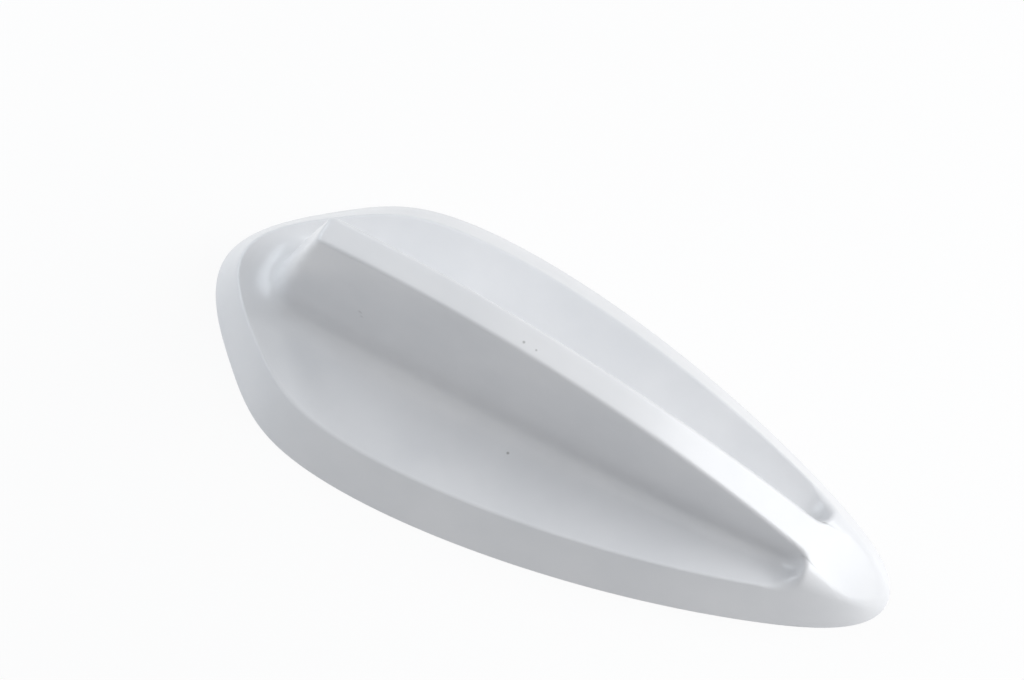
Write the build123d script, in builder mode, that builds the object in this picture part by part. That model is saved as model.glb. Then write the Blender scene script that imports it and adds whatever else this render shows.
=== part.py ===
from build123d import *
import os
from math import atan, cos, radians, sin, sqrt, tan

os.makedirs("parts", exist_ok=True)

# Roof antenna cover: one hollow moulded shell with an open underside.
# Millimetres. +Z is up, +X points to the nose, Z = 0 is the plane of the bonding rim.

# Overall form
LENGTH = 176.0
WIDTH = 75.0
HEIGHT = 47.0
WALL = 2.4

# Leaning skirt, from the bonding rim up to the rim of the valley
RIM_HEIGHT = 10.6
RIM_INSET = 7.6

# Concave valley that runs round the fin, and its end at the nose
VALLEY_FLOOR_Z = 7.2
VALLEY_FLOOR_INSET = 34.0
VALLEY_END_SETBACK = 18.5
VALLEY_END_SLOPE = 60.0

# Fin: top line, rear slope and flanks
PEAK_SETBACK = 46.0
NOSE_LIP = 1.0
FIN_REAR_SETBACK = 35.0
FIN_REAR_LEAN = 26.0
FIN_TOP_WIDTH_REAR = 7.6
FIN_TOP_WIDTH_MID = 6.4
FIN_TOP_WIDTH_NOSE = 8.8
FLANK_DRAFT = 6.5

# Blends
ROOT_RADIUS = 4.0
POCKET_RADIUS = 3.5
BROW_RADIUS = 7.0
FIN_REAR_RADIUS = 1.8
EDGE_RADIUS = 1.0

# Bonding rim
LAND_WIDTH = 5.0

# Plan outline: control points in half lengths and half widths, and the knots of the curve
OUTLINE = [(-1, 0), (-1, 0.233), (-0.770, 0.722), (-0.490, 1.173), (0.465, 0.826), (1, 0.203), (1, 0)]
OUTLINE_KNOTS = [0, 0, 0, 0, 0.15, 0.35, 0.85, 1, 1, 1, 1]

# Flats that round the rim
RIM_FLATS = 2

# Lengths by which working blocks pass the faces that trim them
OVERRUN = 2.0
FIN_OVERRUN = 14.0
SEAM_LAP = 3.0

# Derived values
half_length = LENGTH / 2
half_width = WIDTH / 2
valley_end_x = half_length - VALLEY_END_SETBACK
peak_x = PEAK_SETBACK - half_length
fin_rear_x = FIN_REAR_SETBACK - half_length
skirt_slope = RIM_INSET / RIM_HEIGHT
valley_curve = (RIM_HEIGHT - VALLEY_FLOOR_Z) / (VALLEY_FLOOR_INSET - RIM_INSET) ** 2
top_drop = HEIGHT - NOSE_LIP
top_radius = ((half_length - peak_x) ** 2 + top_drop**2) / (2 * top_drop)
draft_slope = tan(radians(FLANK_DRAFT))
rear_slope = tan(radians(FIN_REAR_LEAN))
seam_x = valley_end_x - 0.5
nose_block_top = HEIGHT / 2


def top_z(x, skin):
    """Height of the top line at x, set in by the skin."""
    return HEIGHT - top_radius + sqrt((top_radius - skin) ** 2 - (x - peak_x) ** 2)


def valley_z(inset):
    """Height of the valley where the outline is drawn in by an inset."""
    return VALLEY_FLOOR_Z + valley_curve * (VALLEY_FLOOR_INSET - inset) ** 2


def middle(edge):
    """Point halfway along an edge."""
    return edge @ 0.5


def outline_face(z, inset):
    """Plan outline at height z, drawn in by an inset on every side."""
    reach_x = half_length - inset
    reach_y = half_width - inset
    with BuildSketch(Plane.XY.offset(z)) as plan:
        with BuildLine():
            side = BSpline([(x * reach_x, y * reach_y) for x, y in OUTLINE], OUTLINE_KNOTS, 3)
            mirror(side, about=Plane.XZ)
        make_face()
    return plan.sketch


def end_plane(skin):
    """Leaning plane that closes the valley, facing the nose."""
    lean = tan(radians(VALLEY_END_SLOPE))
    wall = Plane((valley_end_x, 0, top_z(valley_end_x, 0)), x_dir=(0, 1, 0), z_dir=(lean, 0, -1))
    return wall.offset(skin)


def skirt_block(skin, top):
    """Solid block with the leaning side of the skirt."""
    inset = skin / cos(atan(skirt_slope))
    with BuildPart() as block:
        loft([outline_face(0, inset), outline_face(top, inset + skirt_slope * top)], ruled=True)
    return block.part


def rim_block():
    """Solid block with the side of the skirt and a rim rounded in flats tangent to the edge radius."""
    skirt_angle = atan(RIM_HEIGHT / RIM_INSET)
    valley_angle = -atan(2 * valley_curve * (VALLEY_FLOOR_INSET - RIM_INSET))
    turn = (skirt_angle - valley_angle) / (RIM_FLATS + 1)
    half_flat = EDGE_RADIUS * tan(turn / 2)
    start = EDGE_RADIUS * tan((skirt_angle - valley_angle) / 2) - half_flat
    inset = RIM_INSET - start * cos(skirt_angle)
    z = RIM_HEIGHT - start * sin(skirt_angle)
    sections = [outline_face(0, 0), outline_face(z, inset)]
    for i in range(RIM_FLATS):
        angle = skirt_angle - turn * (i + 1)
        flat = 2 * half_flat if i < RIM_FLATS - 1 else OVERRUN
        inset += flat * cos(angle)
        z += flat * sin(angle)
        sections.append(outline_face(z, inset))
    with BuildPart() as block:
        loft(sections, ruled=True)
    return block.part


def valley_tool(skin):
    """Boat-shaped tool whose side is the concave valley."""
    step = (VALLEY_FLOOR_INSET - RIM_INSET) / 3
    insets = [VALLEY_FLOOR_INSET - step * i for i in range(4)] + [0]
    with BuildPart() as tool:
        loft([outline_face(valley_z(inset) - skin, inset) for inset in insets])
    return tool.part


def side_block(skin):
    """Side view of the fin and nose, carried across the full width."""
    rear_top = fin_rear_x + skin / cos(radians(FIN_REAR_LEAN))
    rear_foot = rear_top - rear_slope * (top_z(rear_top, skin) + OVERRUN)
    nose_x = half_length + OVERRUN
    with BuildPart() as block:
        with BuildSketch(Plane.XZ):
            with BuildLine():
                top = ThreePointArc(
                    (rear_top, top_z(rear_top, skin)),
                    (0, top_z(0, skin)),
                    (nose_x, top_z(nose_x, skin)),
                )
                Polyline(top @ 1, (nose_x, -HEIGHT), (rear_foot, -HEIGHT), (rear_foot, -OVERRUN), top @ 0)
            make_face()
        extrude(amount=half_width, both=True)
    return block.part


def fin_block(skin, over):
    """Fin with drafted flanks, carried past its ends and over its top line."""
    widths = [
        FIN_TOP_WIDTH_REAR,
        (FIN_TOP_WIDTH_REAR + 3 * FIN_TOP_WIDTH_MID) / 4,
        FIN_TOP_WIDTH_MID,
        (FIN_TOP_WIDTH_NOSE + 3 * FIN_TOP_WIDTH_MID) / 4,
        FIN_TOP_WIDTH_NOSE,
    ]
    sections = []
    for i, width in enumerate(widths):
        x = half_length * (i - 2) / 2
        half = width / 2 - skin / cos(radians(FLANK_DRAFT))
        crest = half - over * draft_slope
        foot = half + HEIGHT * draft_slope
        with BuildSketch(Plane.YZ.offset(x)) as section:
            with Locations((0, top_z(x, 0))):
                Polygon((crest, over), (-crest, over), (-foot, -HEIGHT), (foot, -HEIGHT), align=None)
        sections.append(section.sketch)
    with BuildPart() as block:
        loft(sections)
        split(bisect_by=Plane.XY, keep=Keep.TOP)
    return block.part


def fin_piece():
    """Fin as far as the seam, with its own edges rounded."""
    flanks = fin_block(0, FIN_OVERRUN)
    side_view = side_block(0)
    with BuildPart() as fin:
        add(flanks)
        add(side_view, mode=Mode.INTERSECT)
        split(bisect_by=Plane.YZ.offset(seam_x), keep=Keep.BOTTOM)
        uprights = fin.edges().filter_by(lambda e: middle(e).X < fin_rear_x and e.length > HEIGHT / 2)
        fillet(uprights, FIN_REAR_RADIUS)
        crown = fin.faces().sort_by(lambda f: f.center().Z)[-1]
        fillet(crown.edges().filter_by(lambda e: middle(e).X < seam_x - 0.1), EDGE_RADIUS)
    return fin.part


def base_piece():
    """Skirt and valley as far as the seam, with a rounded rim."""
    skirt = rim_block()
    valley = valley_tool(0)
    with BuildPart() as base:
        add(skirt)
        add(valley, mode=Mode.SUBTRACT)
        split(bisect_by=Plane.YZ.offset(seam_x), keep=Keep.BOTTOM)
    return base.part


def nose_envelope():
    """Nose under the top line, with a soft brow where the top meets the skirt."""
    skirt = skirt_block(0, nose_block_top)
    side_view = side_block(0)
    with BuildPart() as envelope:
        add(skirt)
        add(side_view, mode=Mode.INTERSECT)
        brow = envelope.edges().filter_by(lambda e: middle(e).X > 0 and e.bounding_box().size.Z > RIM_HEIGHT)
        fillet(brow, BROW_RADIUS)
    return envelope.part


def nose_piece():
    """Nose with the rounded ends of the valley on both sides of the fin."""
    wall = end_plane(0)
    flanks = fin_block(0, FIN_OVERRUN)
    skirt = skirt_block(0, nose_block_top).split(wall, Keep.TOP)
    envelope = nose_envelope()
    with BuildPart() as nose:
        add(flanks)
        split(bisect_by=Plane.YZ.offset(valley_end_x + 2 * SEAM_LAP), keep=Keep.BOTTOM)
        split(bisect_by=Plane.YZ.offset(half_length / 2), keep=Keep.TOP)
        add(skirt)
        on_wall = nose.edges().filter_by(lambda e: abs(wall.to_local_coords(middle(e)).Z) < 0.01)
        corners = on_wall.filter_by(lambda e: e.length > RIM_HEIGHT).sort_by(lambda e: abs(middle(e).Y))[:2]
        fillet(corners, POCKET_RADIUS)
        add(envelope, mode=Mode.INTERSECT)
        split(bisect_by=Plane.YZ.offset(seam_x - SEAM_LAP), keep=Keep.TOP)
    return nose.part


def cavity():
    """Hollow of the shell, with an upright inner face at the bonding rim."""
    base_skirt = skirt_block(WALL, RIM_HEIGHT)
    valley = valley_tool(WALL)
    nose_skirt = skirt_block(WALL, nose_block_top)
    side_view = side_block(WALL)
    flanks = fin_block(WALL, 0)
    with BuildPart() as base:
        add(base_skirt)
        add(valley, mode=Mode.SUBTRACT)
        split(bisect_by=Plane.YZ.offset(seam_x), keep=Keep.BOTTOM)
    with BuildPart() as nose:
        add(nose_skirt)
        add(side_view, mode=Mode.INTERSECT)
        split(bisect_by=end_plane(WALL), keep=Keep.TOP)
    with BuildPart() as fin:
        add(flanks)
        add(side_view, mode=Mode.INTERSECT)
        split(bisect_by=Plane.YZ.offset(valley_end_x + SEAM_LAP), keep=Keep.BOTTOM)
    with BuildPart() as hollow:
        add(base.part)
        add(nose.part)
        add(fin.part)
        extrude(outline_face(0, LAND_WIDTH), amount=HEIGHT, mode=Mode.INTERSECT)
    return hollow.part


# Cover shell
base = base_piece()
fin = fin_piece()
nose = nose_piece()
hollow = cavity()
with BuildPart() as antenna_cover:
    add(base)
    add(fin)
    low = antenna_cover.edges().filter_by(lambda e: VALLEY_FLOOR_Z < middle(e).Z < RIM_HEIGHT)
    rear = low.filter_by(lambda e: abs(middle(e).Y) < 0.1 and middle(e).X < fin_rear_x)
    root = rear.sort_by(Axis.X)[-1]
    fillet(root, ROOT_RADIUS)
    add(nose)
    add(hollow, mode=Mode.SUBTRACT)
antenna_cover.part.label = "antenna_cover"
export_step(antenna_cover.part, "parts/antenna_cover.step")
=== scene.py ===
import bpy
import numpy as np
from mathutils import Matrix, Vector


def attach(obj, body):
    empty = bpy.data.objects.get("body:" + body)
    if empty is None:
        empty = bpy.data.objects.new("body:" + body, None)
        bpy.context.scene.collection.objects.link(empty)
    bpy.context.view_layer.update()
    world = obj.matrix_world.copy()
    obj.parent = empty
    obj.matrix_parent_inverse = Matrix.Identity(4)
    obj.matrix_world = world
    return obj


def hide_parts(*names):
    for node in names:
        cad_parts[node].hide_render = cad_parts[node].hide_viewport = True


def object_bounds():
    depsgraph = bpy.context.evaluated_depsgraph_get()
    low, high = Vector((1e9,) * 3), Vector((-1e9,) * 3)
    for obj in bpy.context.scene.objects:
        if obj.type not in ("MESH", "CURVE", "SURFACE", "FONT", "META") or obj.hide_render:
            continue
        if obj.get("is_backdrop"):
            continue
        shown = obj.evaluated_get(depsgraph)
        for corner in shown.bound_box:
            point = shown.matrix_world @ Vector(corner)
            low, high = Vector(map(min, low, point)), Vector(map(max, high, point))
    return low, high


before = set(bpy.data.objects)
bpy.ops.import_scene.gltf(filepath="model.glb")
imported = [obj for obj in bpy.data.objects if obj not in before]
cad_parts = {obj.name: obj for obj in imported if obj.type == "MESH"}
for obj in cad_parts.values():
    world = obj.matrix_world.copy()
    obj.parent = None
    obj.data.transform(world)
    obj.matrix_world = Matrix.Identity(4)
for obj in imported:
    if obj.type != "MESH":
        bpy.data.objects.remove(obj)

bl_info = {
    "name": "Roof antenna cover",
    "version": (1, 0, 0),
    "blender": (4, 5, 0),
    "location": "View3D > Sidebar > Antenna cover",
    "description": "Moulded white roof antenna cover with a studio stage",
    "category": "Object",
}

CAD_LOW, CAD_HIGH = (np.array(corner, dtype=float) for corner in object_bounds())
CAD_SIZE = CAD_HIGH - CAD_LOW

# Plan outline of one side, in half lengths and half widths, and the knots of its cubic curve
OUTLINE = np.array([
    (-1, 0), (-1, 0.233), (-0.770, 0.722), (-0.490, 1.173), (0.465, 0.826), (1, 0.203), (1, 0),
])
OUTLINE_KNOTS = np.array([0, 0, 0, 0, 0.15, 0.35, 0.85, 1, 1, 1, 1])
OUTLINE_DEGREE = 3
OUTLINE_SAMPLES = 4001
OUTLINE_STEP = 1e-4

# Grid of the shell: stations along one side, and rows over the outside and the inside
SIDE_STATIONS = 450
OUTER_ROWS = 84
INNER_ROWS = 22
FINE_ROWS = 700
BISECTIONS = 42
BEND_WEIGHT = 0.012  # metres of section that one radian of bend counts for
STATION_GAP = 2.0  # keeps the stations apart in one long interpolation
INSIDE_LOWEST = 2e-4
TINY = 1e-9

# Inset from which the skirt's cone steepens, in metres, and how fast, so that it clears the fin
FIN_CLEAR_INSET = 0.020
FIN_CLEAR_RISE = 300.0
LEAST_FACING = 0.3  # keeps the skirt's slope in bounds where the outline turns most

# Width of a blend for a radius of one, by the angle at which its two faces meet
ROOT_BLEND = 0.9
EDGE_BLEND = 0.9
RIM_BLEND = 0.64
VALLEY_CUT = 4.0  # how steeply the valley's floor is cut off past its end

# Faces of the land look down at least this far, and its corners lie this low
LAND_FACING = -0.99
LAND_HEIGHT = 1e-6

# Small specks and a scuff in the finish: place in metres, radius, and how dark each is
SPECKS = (
    ((-0.0034, -0.0011, 0.0434), 0.00042, 0.55),
    ((-0.0004, -0.0012, 0.0428), 0.00034, 0.45),
    ((-0.0010, -0.0130, 0.0077), 0.00046, 0.60),
    ((-0.0428, -0.0057, 0.0254), 0.00070, 0.22),
    ((-0.0425, -0.0059, 0.0237), 0.00055, 0.16),
)
SPECK_CORE = 0.3

# Patterns of the finish, in turns per metre, and the clear gloss over it
CLOUD_NOISE = {"Scale": 38.0, "Detail": 3.0, "Roughness": 0.55}
WAVE_NOISE = {"Scale": 900.0, "Detail": 2.0, "Roughness": 0.6}
GLOSS_NOISE = {"Scale": 160.0, "Detail": 5.0, "Roughness": 0.65}
CLOUD_RANGE = {"From Min": 0.35, "From Max": 0.7}
GLOSS_RANGE = {"From Min": 0.3, "From Max": 0.75}
GLOSS_SPREAD = 0.02
CLEAR_GLOSS = {"IOR": 1.49, "Coat Weight": 0.25, "Coat Roughness": 0.15}

# Floor: half size, points per side, depth under the cover, how white it is seen, faint clouding
FLOOR_REACH = 3
FLOOR_POINTS = 9
FLOOR_DEPTH = 0.0002
FLOOR_GLOW = 0.9
FLOOR_CLOUD = 0.985
FLOOR_NOISE = {"Scale": 6.0, "Detail": 2.0}

# Soft light from all round, and the lamps: name, place, aim, size, power and colour
FILL_COLOUR = (0.96, 0.975, 1.0, 1)
FILL_STRENGTH = 0.34
LAMPS = (
    ("nose_lamp", (0.50, 0.22, 0.35), (0.04, 0, 0.01), (0.6, 0.45), 3.4, (0.97, 0.985, 1.0)),
    ("rear_lamp", (-0.40, 0.66, 0.80), (-0.04, 0, 0.02), (0.20, 0.20), 0.55, (0.93, 0.97, 1.0)),
    ("tail_lamp", (-0.55, 0.0, 0.30), (-0.07, 0, 0.01), (0.5, 0.4), 1.65, (0.88, 0.94, 1.0)),
)
SENSOR_WIDTH = 36
CLIP_START = 0.01


def length(label, words, size):
    """Length property in metres, with its default."""
    return bpy.props.FloatProperty(
        name=label, description=words, default=size, min=0, unit="LENGTH", precision=5)


def place(label, words, x):
    """Place along the length in metres, with its default; the nose is at the positive end."""
    return bpy.props.FloatProperty(name=label, description=words, default=x, unit="LENGTH")


def tilt(label, words, degrees):
    """Angle property, with its default given in degrees."""
    return bpy.props.FloatProperty(
        name=label, description=words, default=np.radians(degrees), subtype="ANGLE")


def tint(label, words, rgb):
    """Colour property, with its default."""
    return bpy.props.FloatVectorProperty(
        name=label, description=words, default=rgb, size=3, min=0, max=1, subtype="COLOR")


class CoverShape(bpy.types.PropertyGroup):
    """Sizes of the moulded shell."""

    wall: length("Wall", "Thickness of the moulding", 0.0024)
    rim_height: length("Rim height", "Height of the rim over the roof", 0.0106)
    rim_inset: length("Rim inset", "How far the rim stands in from the outline", 0.0076)
    floor_height: length("Valley floor height", "Lowest height of the valley", 0.0072)
    floor_inset: length("Valley floor inset", "Inset where the valley is lowest", 0.034)
    end_place: place("Valley end", "Where the valley ends", 0.0688)
    end_slope: tilt("Valley end slope", "Slope of the face that ends the valley", 60)
    peak_place: place("Peak", "Where the top line is highest", -0.042)
    nose_lip: length("Nose lip", "Height of the top line over the nose tip", 0.001)
    rear_place: place("Fin rear", "Top of the fin's rear slope", -0.053)
    rear_lean: tilt("Fin rear lean", "Lean of the fin's rear slope from upright", 26)
    top_width_rear: length("Top width, rear", "Width of the fin's top at the tail's end", 0.0076)
    top_width_mid: length("Top width, middle", "Width of the fin's top at mid length", 0.0064)
    top_width_nose: length("Top width, nose", "Width of the fin's top at the nose's end", 0.0088)
    draft: tilt("Flank draft", "Lean of the fin's flanks from upright", 6.5)
    root_rear: length("Root radius, rear", "Blend of fin and valley at the fin's rear", 0.0078)
    root_nose: length("Root radius, nose", "Blend of fin and valley at the nose", 0.0034)
    pocket_radius: length("Pocket radius", "Blend in the inner corner of the valley's end", 0.0040)
    brow_radius: length("Brow radius", "Blend of the nose's top and the skirt", 0.0085)
    rear_radius: length("Rear edge radius", "Rounding of the fin's rear edges at the top", 0.0018)
    rear_foot: length("Rear foot radius", "Rounding of the fin's rear edges at the valley", 0.010)
    edge_radius: length("Edge radius", "Rounding of the rim and of the fin's top edges", 0.0011)
    land_width: length("Land width", "Width of the flat rim that stands on the roof", 0.005)


class CoverFinish(bpy.types.PropertyGroup):
    """Colours and gloss of the moulding."""

    white: tint("White", "Main colour of the moulding", (0.80, 0.80, 0.81))
    cloud: tint("Cloud", "Slightly darker colour that clouds the white", (0.74, 0.745, 0.76))
    speck: tint("Speck", "Colour of the small specks", (0.16, 0.15, 0.14))
    gloss: bpy.props.FloatProperty(
        name="Roughness", description="Roughness of the moulded face", default=0.30,
        min=0, max=1, subtype="FACTOR")
    orange_peel: length("Orange peel", "Depth of the fine waviness of the finish", 0.000012)


class CoverStage(bpy.types.PropertyGroup):
    """Camera and floor."""

    azimuth: tilt("Azimuth", "Direction of the camera round the cover", 31.2)
    elevation: tilt("Elevation", "Height of the camera over the floor", 65.9)
    roll: tilt("Roll", "Turn of the camera about its own axis", -1.6)
    distance: length("Distance", "From the camera to the point it looks at", 0.367)
    aim: bpy.props.FloatVectorProperty(
        name="Aim", description="Point that the camera looks at",
        default=(-0.01585, 0.0147, 0.0), unit="LENGTH")
    lens: bpy.props.FloatProperty(
        name="Lens", description="Focal length in millimetres", default=54.07, min=1)
    floor: tint("Floor", "Colour of the floor", (0.92, 0.92, 0.925))


def outline_point(u):
    """Cubic B-spline of the outline at u in 0..1.

    Each round blends neighbouring control points: p[j] = (1 - s) p[j-1] + s p[j],
    with s = (u - t[low]) / (t[high] - t[low]).
    """
    u = np.clip(np.asarray(u, dtype=float), 0, 1 - 1e-12)
    first = np.searchsorted(OUTLINE_KNOTS, u, side="right") - 1 - OUTLINE_DEGREE
    poles = [OUTLINE[first + j] for j in range(OUTLINE_DEGREE + 1)]
    for r in range(1, OUTLINE_DEGREE + 1):
        for j in range(OUTLINE_DEGREE, r - 1, -1):
            low = OUTLINE_KNOTS[first + j]
            high = OUTLINE_KNOTS[first + OUTLINE_DEGREE + 1 + j - r]
            share = ((u - low) / (high - low))[:, None]
            poles[j] = (1 - share) * poles[j - 1] + share * poles[j]
    return poles[OUTLINE_DEGREE]


def round_high(a, b, width):
    """Larger of a and b, rounded where they cross: max(a, b) + max(w - |a - b|, 0)^2 / 4w."""
    near = np.maximum(width - np.abs(a - b), 0)
    return np.maximum(a, b) + near**2 / (4 * np.maximum(width, TINY))


def round_low(a, b, width):
    """Smaller of a and b, rounded where they cross in the same way."""
    return -round_high(-a, -b, width)


class CoverForm:
    """Outer form of the cover as a signed distance, zero on the surface and negative inside."""

    def __init__(self, shape):
        self.shape = shape
        self.half_length = CAD_SIZE[0] / 2
        self.half_width = CAD_SIZE[1] / 2
        drop = CAD_HIGH[2] - shape.nose_lip
        self.top_radius = ((self.half_length - shape.peak_place) ** 2 + drop**2) / (2 * drop)
        self.top_centre = CAD_HIGH[2] - self.top_radius
        self.skirt_rise = shape.rim_height / shape.rim_inset
        valley_depth = shape.rim_height - shape.floor_height
        self.valley_curve = valley_depth / (shape.floor_inset - shape.rim_inset) ** 2

    def stations(self, count):
        """Outline points evenly spaced along one side, with their outward directions in plan."""
        u = np.linspace(0, 1, OUTLINE_SAMPLES)
        scale = np.array([self.half_length, self.half_width])
        walk = np.r_[0, np.cumsum(np.hypot(*np.diff(outline_point(u) * scale, axis=0).T))]
        u = np.interp(np.linspace(0, walk[-1], count), walk, u)
        point = outline_point(u)
        ahead = outline_point(np.minimum(u + OUTLINE_STEP, 1))
        run = (ahead - outline_point(np.maximum(u - OUTLINE_STEP, 0))) * scale
        out = np.stack([-run[:, 1], run[:, 0]], axis=1) / np.hypot(*run.T)[:, None]
        out[0], out[-1] = (-1, 0), (1, 0)
        point[0], point[-1] = (-1, 0), (1, 0)
        return point, out

    def plan(self, point, inset):
        """Plan position of a station (X, Y), drawn in by an inset.

        x = X (half length - inset), y = Y (half width - inset)
        """
        x = point[:, :1] * (self.half_length - inset)
        y = point[:, 1:] * np.maximum(self.half_width - inset, 0)
        return x, y

    def top_line(self, x):
        """Height of the top line: z = zc + sqrt(R^2 - (x - peak)^2)."""
        return self.top_centre + np.sqrt(self.top_radius**2 - (x - self.shape.peak_place) ** 2)

    def top_half_width(self, x):
        """Half width of the fin's top: a parabola through its rear, middle and nose widths."""
        sh = self.shape
        t = x / self.half_length
        bow = (sh.top_width_rear + sh.top_width_nose) / 2 - sh.top_width_mid
        taper = (sh.top_width_nose - sh.top_width_rear) / 2
        return (sh.top_width_mid + taper * t + bow * t**2) / 2

    def distance(self, x, y, z, inset, point, out):
        """Signed distance of (x, y, z), with the faces joined by rounded blends.

        skirt:  z = rise inset + clear max(inset - clear inset, 0)^2, over the slope's length
        valley: z = floor height + curve min(inset - floor inset, 0)^2, over the slope's length
        top:    |(x, z) - (peak, zc)| - R
        flank:  (|y| - half width) cos draft - (crest - z) sin draft
        rear:   (rear - x) cos lean - (rear top - z) sin lean
        end:    (end - x) sin slope + (z - end top) cos slope
        cover:  skirt and (valley or (top and ((flank and rear) or end)))
        """
        sh = self.shape
        facing = np.abs(point[:, :1] * out[:, :1] + point[:, 1:] * out[:, 1:])
        skirt_fall = self.skirt_rise / np.maximum(facing, LEAST_FACING)
        past = np.maximum(inset - FIN_CLEAR_INSET, 0)
        skirt = z - inset * self.skirt_rise - FIN_CLEAR_RISE * past**2
        skirt = skirt / np.hypot(1, skirt_fall)
        reach = np.minimum(inset - sh.floor_inset, 0)
        valley = z - sh.floor_height - self.valley_curve * reach**2
        valley = valley / np.hypot(1, 2 * self.valley_curve * reach)

        arm_x = x - sh.peak_place
        arm_z = z - self.top_centre
        top = np.hypot(arm_x, arm_z) - self.top_radius
        crest = self.top_line(x)
        flank = (np.abs(y) - self.top_half_width(x)) * np.cos(sh.draft)
        flank = flank - (crest - z) * np.sin(sh.draft)
        rear = (sh.rear_place - x) * np.cos(sh.rear_lean)
        rear = rear - (self.top_line(sh.rear_place) - z) * np.sin(sh.rear_lean)
        end = (sh.end_place - x) * np.sin(sh.end_slope)
        end = end + (z - self.top_line(sh.end_place)) * np.cos(sh.end_slope)

        down = np.clip((crest - z) / (crest - sh.floor_height), 0, 1)
        blade = round_high(flank, rear, sh.rear_radius + (sh.rear_foot - sh.rear_radius) * down**2)
        sides = round_low(blade, end, sh.pocket_radius)
        upper = round_high(top, sides, EDGE_BLEND * sh.edge_radius)
        floor = np.maximum(valley, VALLEY_CUT * (x - sh.end_place))
        forward = np.clip((x - sh.rear_place) / (sh.end_place - sh.rear_place), 0, 1)
        root = sh.root_rear + (sh.root_nose - sh.root_rear) * forward
        inner = round_low(floor, upper, ROOT_BLEND * root)

        turn = (arm_x * out[:, :1] * skirt_fall + arm_z) / np.hypot(arm_x, arm_z)
        turn = turn / np.hypot(1, skirt_fall)
        brow = sh.brow_radius * (1 - np.clip(turn, 0, 1))
        on_nose = np.clip(0.5 + (valley - upper) / (2 * sh.pocket_radius), 0, 1)
        rim = RIM_BLEND * sh.edge_radius
        return round_high(skirt, inner, rim + (brow - rim) * on_nose)

    def height(self, inset, point, out, depth=0.0):
        """Height at which the signed distance is minus the depth, found by halving an interval."""
        x, y = self.plan(point, inset)
        low = np.full(x.shape, -2 * self.shape.wall)
        high = np.full(x.shape, CAD_HIGH[2] + self.shape.wall)
        for _ in range(BISECTIONS):
            mid = (low + high) / 2
            inside = self.distance(x, y, mid, inset, point, out) < -depth
            low = np.where(inside, mid, low)
            high = np.where(inside, high, mid)
        return x, y, (low + high) / 2

    def rows(self, first, count, point, out, depth=0.0):
        """Insets of the grid rows: close together where the section bends, else wide apart."""
        fine = np.linspace(first, self.half_width, FINE_ROWS)[None, :] * np.ones((len(point), 1))
        x, y, z = self.height(fine, point, out, depth)
        run = np.hypot(np.diff(x), np.diff(y))
        rise = np.diff(z)
        bend = np.abs(np.diff(np.unwrap(np.arctan2(rise, np.maximum(run, TINY)))))
        weight = np.hypot(run, rise)
        weight[:, 1:] += BEND_WEIGHT * bend
        walk = np.concatenate([np.zeros((len(point), 1)), np.cumsum(weight, axis=1)], axis=1)
        walk /= walk[:, -1:]
        lift = STATION_GAP * np.arange(len(point))[:, None]
        wanted = np.linspace(0, 1, count)[None, :] + lift
        found = np.interp(wanted.ravel(), (walk + lift).ravel(), fine.ravel())
        return found.reshape(len(point), count)


def ring(half):
    """Whole ring of stations: one side from tail to nose, then its mirror image to the tail."""
    mirrored = half[-2:0:-1] * np.array([1, -1, 1])
    return np.concatenate([half, mirrored])


def strip_quads(index, flip):
    """Quads of a grid of vertex numbers that closes on itself along its first axis."""
    following = np.roll(index, -1, axis=0)
    a, b = index[:, :-1], following[:, :-1]
    c, d = following[:, 1:], index[:, 1:]
    order = (a, d, c, b) if flip else (a, b, c, d)
    return np.stack(order, axis=-1).reshape(-1, 4)


def close_spine(index):
    """Both sides share the vertices of the last row, which lies on the middle plane."""
    count = len(index)
    station = np.arange(count)
    last = index[:, -1]
    index[:, -1] = np.where(station > count // 2, last[(count - station) % count], last)
    return index


def shell_mesh(shape):
    """Closed shell: the outside, a flat land, an upright step, and the inside a wall deeper."""
    form = CoverForm(shape)
    point, out = form.stations(SIDE_STATIONS + 1)
    inset = form.rows(0, OUTER_ROWS, point, out)
    x, y, z = form.height(inset, point, out)
    z = np.maximum(z, 0)
    z[:, 0] = 0
    outer = ring(np.stack([x, y, z], axis=-1))
    inset = form.rows(shape.land_width, INNER_ROWS, point, out, shape.wall)
    x, y, z = form.height(inset, point, out, shape.wall)
    inner = ring(np.stack([x, y, np.maximum(z, INSIDE_LOWEST)], axis=-1))
    foot = inner[:, :1] * np.array([1, 1, 0])

    count = len(outer)
    outer_index = close_spine(np.arange(count * OUTER_ROWS).reshape(count, OUTER_ROWS))
    foot_index = count * OUTER_ROWS + np.arange(count).reshape(count, 1)
    inner_index = np.arange(count * INNER_ROWS).reshape(count, INNER_ROWS)
    inner_index = close_spine(count * (OUTER_ROWS + 1) + inner_index)
    under = np.concatenate([outer_index[:, :1], foot_index, inner_index], axis=1)
    vertices = np.concatenate([part.reshape(-1, 3) for part in (outer, foot, inner)])
    quads = np.concatenate([strip_quads(outer_index, True), strip_quads(under, False)])
    used, compact = np.unique(quads, return_inverse=True)
    return vertices[used], compact.reshape(-1, 4)


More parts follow.
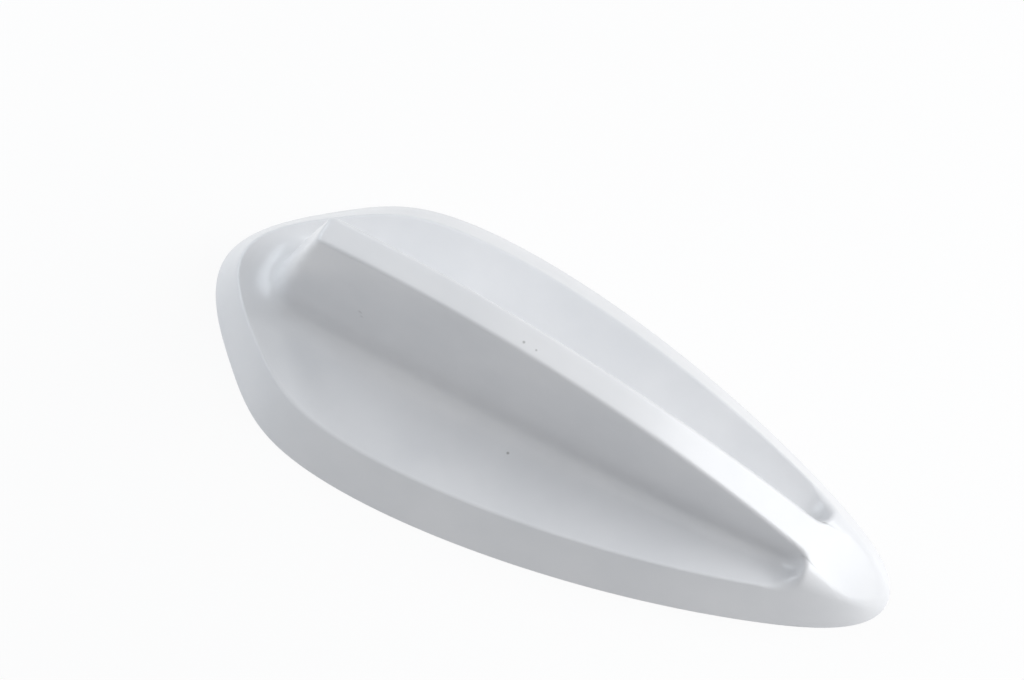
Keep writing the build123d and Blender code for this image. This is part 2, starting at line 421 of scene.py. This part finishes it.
def new_mesh(name, vertices, quads):
    """Mesh from whole arrays, smooth-shaded; quads with a repeated corner become triangles."""
    mesh = bpy.data.meshes.new(name)
    same = np.array([quads[:, k] == quads[:, (k + 1) % 4] for k in range(4)])
    plain = quads[~same.any(axis=0)]
    triangles = np.concatenate([
        quads[same[k]][:, [j for j in range(4) if j != k]] for k in range(4)])
    ordered = np.sort(triangles, axis=1)
    triangles = triangles[(ordered[:, :-1] != ordered[:, 1:]).all(axis=1)]
    corners = np.concatenate([plain.ravel(), triangles.ravel()])
    sizes = np.r_[np.full(len(plain), 4), np.full(len(triangles), 3)]
    mesh.vertices.add(len(vertices))
    mesh.vertices.foreach_set("co", vertices.astype(np.float32).ravel())
    mesh.loops.add(len(corners))
    mesh.loops.foreach_set("vertex_index", corners.astype(np.int32))
    mesh.polygons.add(len(sizes))
    mesh.polygons.foreach_set("loop_start", np.r_[0, np.cumsum(sizes)[:-1]].astype(np.int32))
    mesh.polygons.foreach_set("use_smooth", np.ones(len(sizes), dtype=bool))
    mesh.update(calc_edges=True)
    mesh.validate()
    return mesh


def read_array(items, name, width, kind):
    """One attribute of all items of a mesh, as an array with the given width."""
    values = np.zeros(len(items) * width, dtype=kind)
    items.foreach_get(name, values)
    return values.reshape(-1, width)


def mark_foot_edges(mesh):
    """Sharp edges round the land, where faces on the roof plane meet the other faces."""
    flat = read_array(mesh.polygons, "normal", 3, np.float32)[:, 2] < LAND_FACING
    sizes = read_array(mesh.polygons, "loop_total", 1, np.int32)[:, 0]
    edge = read_array(mesh.loops, "edge_index", 1, np.int32)[:, 0]
    on_roof = read_array(mesh.vertices, "co", 3, np.float32)[:, 2] < LAND_HEIGHT
    ends = read_array(mesh.edges, "vertices", 2, np.int32)
    owner = np.repeat(np.arange(len(sizes)), sizes)
    touches = np.bincount(edge, weights=flat[owner], minlength=len(mesh.edges))
    sharp = mesh.attributes.new("sharp_edge", "BOOLEAN", "EDGE")
    sharp.data.foreach_set("value", on_roof[ends].all(axis=1) & (touches == 1))


class Nodes:
    """Small helper that adds shader nodes and joins their sockets."""

    def __init__(self, tree):
        self.tree = tree
        tree.nodes.clear()

    def add(self, kind, values=None, **settings):
        """New node with its settings; a value is either a socket to join or a constant."""
        node = self.tree.nodes.new(kind)
        for key, value in settings.items():
            setattr(node, key, value)
        for key, value in (values or {}).items():
            if isinstance(value, bpy.types.NodeSocket):
                self.tree.links.new(value, node.inputs[key])
            else:
                node.inputs[key].default_value = value
        return node

    def noise(self, vector, settings):
        """Level of a noise pattern over the given coordinates."""
        return self.add("ShaderNodeTexNoise", {"Vector": vector, **settings}).outputs["Fac"]

    def mix(self, factor, first, second):
        """Colour between two colours; the first may be a socket."""
        node = self.add("ShaderNodeMix", {"Factor": factor}, data_type="RGBA")
        if isinstance(first, bpy.types.NodeSocket):
            self.tree.links.new(first, node.inputs["A"])
        else:
            node.inputs["A"].default_value = (*first, 1)
        node.inputs["B"].default_value = (*second, 1)
        return node.outputs["Result"]

    def math(self, operation, first, second):
        """Result of one operation on two values."""
        node = self.add("ShaderNodeMath", {0: first, 1: second}, operation=operation)
        return node.outputs["Value"]


def moulding_material(finish):
    """Glossy white moulding: faint clouding, fine waviness, slightly uneven gloss, few specks."""
    material = bpy.data.materials.new("white_gloss")
    material.use_nodes = True
    nodes = Nodes(material.node_tree)
    where = nodes.add("ShaderNodeTexCoord").outputs["Object"]
    level = nodes.add("ShaderNodeMapRange", {
        "Value": nodes.noise(where, CLOUD_NOISE), **CLOUD_RANGE})
    tone = nodes.mix(level.outputs["Result"], finish.white, finish.cloud)
    for centre, radius, dark in SPECKS:
        gap = nodes.add("ShaderNodeVectorMath", {0: where, 1: centre}, operation="DISTANCE")
        spot = nodes.add("ShaderNodeMapRange", {
            "Value": gap.outputs["Value"], "From Min": SPECK_CORE * radius, "From Max": radius,
            "To Min": dark, "To Max": 0.0})
        tone = nodes.mix(spot.outputs["Result"], tone, finish.speck)
    gloss = nodes.add("ShaderNodeMapRange", {
        "Value": nodes.noise(where, GLOSS_NOISE), **GLOSS_RANGE,
        "To Min": finish.gloss - GLOSS_SPREAD, "To Max": finish.gloss + GLOSS_SPREAD})
    bump = nodes.add("ShaderNodeBump", {
        "Height": nodes.noise(where, WAVE_NOISE), "Distance": finish.orange_peel, "Strength": 1.0})
    shader = nodes.add("ShaderNodeBsdfPrincipled", {
        "Base Color": tone, "Roughness": gloss.outputs["Result"],
        "Normal": bump.outputs["Normal"], **CLEAR_GLOSS})
    nodes.add("ShaderNodeOutputMaterial", {"Surface": shader.outputs["BSDF"]})
    return material


class COVER_OT_shell(bpy.types.Operator):
    """Build the moulded shell and its finish"""

    bl_idname = "antenna_cover.shell"
    bl_label = "Cover shell"

    def execute(self, context):
        vertices, quads = shell_mesh(context.scene.cover_shape)
        mesh = new_mesh("cover_shell", vertices, quads)
        mark_foot_edges(mesh)
        if not len(mesh.polygons):
            raise RuntimeError("the shell has no faces")
        shell = bpy.data.objects.new("cover_shell", mesh)
        context.scene.collection.objects.link(shell)
        mesh.materials.append(moulding_material(context.scene.cover_finish))
        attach(shell, "root")
        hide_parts("antenna_cover")
        return {"FINISHED"}


def seen_directly(nodes):
    """One for rays from the camera, or by way of a mirror or glass, and zero for other rays."""
    path = nodes.add("ShaderNodeLightPath").outputs
    bounced = nodes.math("MAXIMUM", path["Is Glossy Ray"], path["Is Transmission Ray"])
    return nodes.math("MAXIMUM", path["Is Camera Ray"], bounced)


def floor_material(colour):
    """Pale matt floor that the camera sees as white, and that keeps a faint shadow."""
    material = bpy.data.materials.new("floor_pale")
    material.use_nodes = True
    nodes = Nodes(material.node_tree)
    where = nodes.add("ShaderNodeTexCoord").outputs["Object"]
    tone = nodes.mix(nodes.noise(where, FLOOR_NOISE), colour, FLOOR_CLOUD * np.array(colour))
    matt = nodes.add("ShaderNodeBsdfDiffuse", {"Color": tone})
    glow = nodes.add("ShaderNodeEmission", {"Color": (1, 1, 1, 1), "Strength": 1.0})
    share = nodes.math("MULTIPLY", seen_directly(nodes), FLOOR_GLOW)
    both = nodes.add("ShaderNodeMixShader", {
        0: share, 1: matt.outputs["BSDF"], 2: glow.outputs["Emission"]})
    nodes.add("ShaderNodeOutputMaterial", {"Surface": both.outputs["Shader"]})
    return material


def add_floor(scene, colour):
    """Flat floor, a little under the cover."""
    line = np.linspace(-FLOOR_REACH, FLOOR_REACH, FLOOR_POINTS)
    x, y = np.meshgrid(line, line, indexing="ij")
    vertices = np.stack([x, y, np.full(x.shape, -FLOOR_DEPTH)], axis=-1).reshape(-1, 3)
    index = np.arange(FLOOR_POINTS**2).reshape(FLOOR_POINTS, FLOOR_POINTS)
    corners = (index[:-1, :-1], index[1:, :-1], index[1:, 1:], index[:-1, 1:])
    quads = np.stack(corners, axis=-1).reshape(-1, 4)
    floor = bpy.data.objects.new("floor", new_mesh("floor", vertices, quads))
    scene.collection.objects.link(floor)
    floor.data.materials.append(floor_material(colour))
    floor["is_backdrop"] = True


def add_world(scene):
    """Soft fill light from all round, behind a background that the camera sees as white."""
    world = bpy.data.worlds.new("studio")
    world.use_nodes = True
    scene.world = world
    nodes = Nodes(world.node_tree)
    fill = nodes.add("ShaderNodeBackground", {"Color": FILL_COLOUR, "Strength": FILL_STRENGTH})
    white = nodes.add("ShaderNodeBackground", {"Color": (1, 1, 1, 1), "Strength": 1.0})
    both = nodes.add("ShaderNodeMixShader", {
        0: seen_directly(nodes), 1: fill.outputs["Background"], 2: white.outputs["Background"]})
    nodes.add("ShaderNodeOutputWorld", {"Surface": both.outputs["Shader"]})


def add_lamp(scene, name, spot, aim, size, power, colour):
    """Soft rectangular lamp at a spot, turned to a point."""
    lamp = bpy.data.lights.new(name, "AREA")
    lamp.shape = "RECTANGLE"
    lamp.size, lamp.size_y = size
    lamp.energy = power
    lamp.color = colour
    holder = bpy.data.objects.new(name, lamp)
    holder.location = spot
    holder.rotation_euler = (Vector(aim) - Vector(spot)).to_track_quat("-Z", "Y").to_euler()
    scene.collection.objects.link(holder)


def add_camera(scene, stage):
    """Camera at a distance from its aim, given by azimuth a and elevation e.

    back = (sin a cos e, -cos a cos e, sin e), right = (cos a, sin a, 0), then turned by the roll.
    """
    flat = np.cos(stage.elevation)
    back = Vector((np.sin(stage.azimuth) * flat, -np.cos(stage.azimuth) * flat,
                   np.sin(stage.elevation)))
    right = Vector((np.cos(stage.azimuth), np.sin(stage.azimuth), 0))
    up = back.cross(right)
    across = right * np.cos(stage.roll) + up * np.sin(stage.roll)
    upward = up * np.cos(stage.roll) - right * np.sin(stage.roll)
    lens = bpy.data.cameras.new("camera")
    lens.sensor_fit = "HORIZONTAL"
    lens.sensor_width = SENSOR_WIDTH
    lens.lens = stage.lens
    lens.clip_start = CLIP_START
    camera = bpy.data.objects.new("camera", lens)
    turn = Matrix((across, upward, back)).transposed().to_4x4()
    camera.matrix_world = Matrix.Translation(Vector(stage.aim) + back * stage.distance) @ turn
    scene.collection.objects.link(camera)
    scene.camera = camera


class COVER_OT_stage(bpy.types.Operator):
    """Set up the floor, the soft lamps and the camera"""

    bl_idname = "antenna_cover.stage"
    bl_label = "Studio stage"

    def execute(self, context):
        scene = context.scene
        add_floor(scene, scene.cover_stage.floor)
        add_world(scene)
        for lamp in LAMPS:
            add_lamp(scene, *lamp)
        add_camera(scene, scene.cover_stage)
        scene.view_settings.view_transform = "Standard"
        return {"FINISHED"}


class COVER_PT_panel(bpy.types.Panel):
    """Sidebar panel that lists the cover's operators and values"""

    bl_idname = "COVER_PT_panel"
    bl_label = "Antenna cover"
    bl_space_type = "VIEW_3D"
    bl_region_type = "UI"
    bl_category = "Antenna cover"

    def draw(self, context):
        for operator in (COVER_OT_shell, COVER_OT_stage):
            self.layout.operator(operator.bl_idname)
        scene = context.scene
        for group in (scene.cover_shape, scene.cover_finish, scene.cover_stage):
            box = self.layout.box()
            for name in group.__annotations__:
                box.prop(group, name)


CLASSES = (CoverShape, CoverFinish, CoverStage, COVER_OT_shell, COVER_OT_stage, COVER_PT_panel)


def register():
    for cls in CLASSES:
        bpy.utils.register_class(cls)
    bpy.types.Scene.cover_shape = bpy.props.PointerProperty(type=CoverShape)
    bpy.types.Scene.cover_finish = bpy.props.PointerProperty(type=CoverFinish)
    bpy.types.Scene.cover_stage = bpy.props.PointerProperty(type=CoverStage)


def unregister():
    for name in ("cover_shape", "cover_finish", "cover_stage"):
        delattr(bpy.types.Scene, name)
    for cls in reversed(CLASSES):
        bpy.utils.unregister_class(cls)


def main():
    register()
    bpy.ops.antenna_cover.shell()
    bpy.ops.antenna_cover.stage()


if __name__ == "__main__":
    main()
